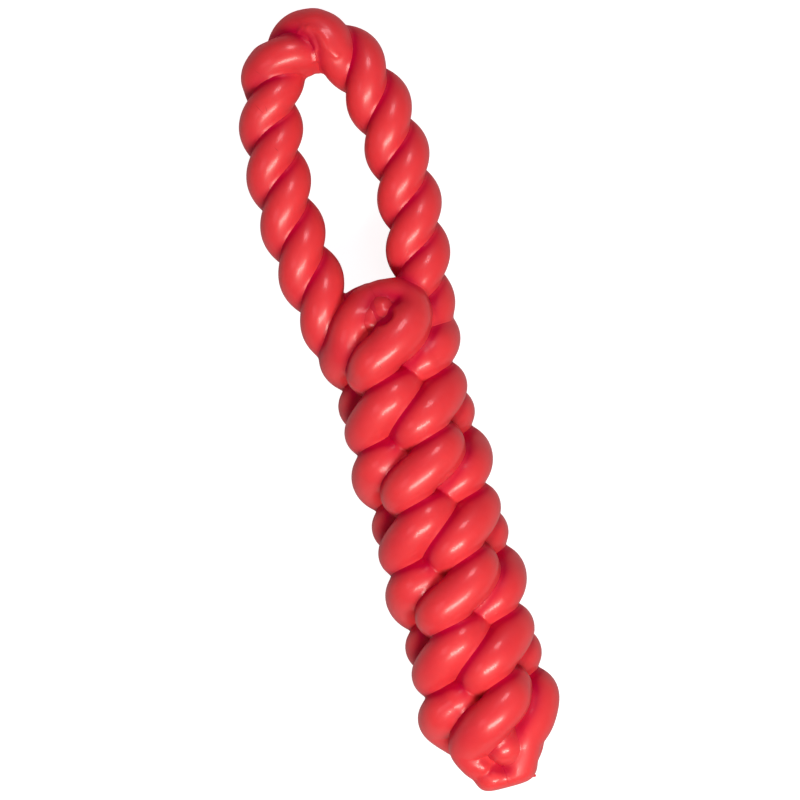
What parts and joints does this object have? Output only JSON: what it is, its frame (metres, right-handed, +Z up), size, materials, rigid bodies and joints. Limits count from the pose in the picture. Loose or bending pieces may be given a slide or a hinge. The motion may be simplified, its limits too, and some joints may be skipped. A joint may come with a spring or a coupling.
{
  "type": "rope-style rubber dog toy",
  "caption": "Red rubber tug and throw toy shaped like laid rope, with a finger loop at one end of a thick spiral body.",
  "frame": {"origin": "middle of the toy's bounding box in X and Y, on the surface it lies on", "axes": "+Z up, +Y along the toy from its tip towards the loop, +X to the right with the loop away from you"},
  "size_m": [0.065, 0.2892, 0.0501],
  "materials": {
    "rubber": "glossy, slightly translucent moulded rubber"
  },
  "bodies": {
    "root": {"front_strand": "rubber", "right_strand": "rubber", "left_strand": "rubber", "back_strand": "rubber", "core": "rubber", "handle_strand_a": "rubber", "handle_strand_b": "rubber", "crown_nub_small": "rubber", "crown_nub_large": "rubber", "tucked_end_front": "rubber", "tucked_end_back": "rubber"}
  },
  "joints": []
}
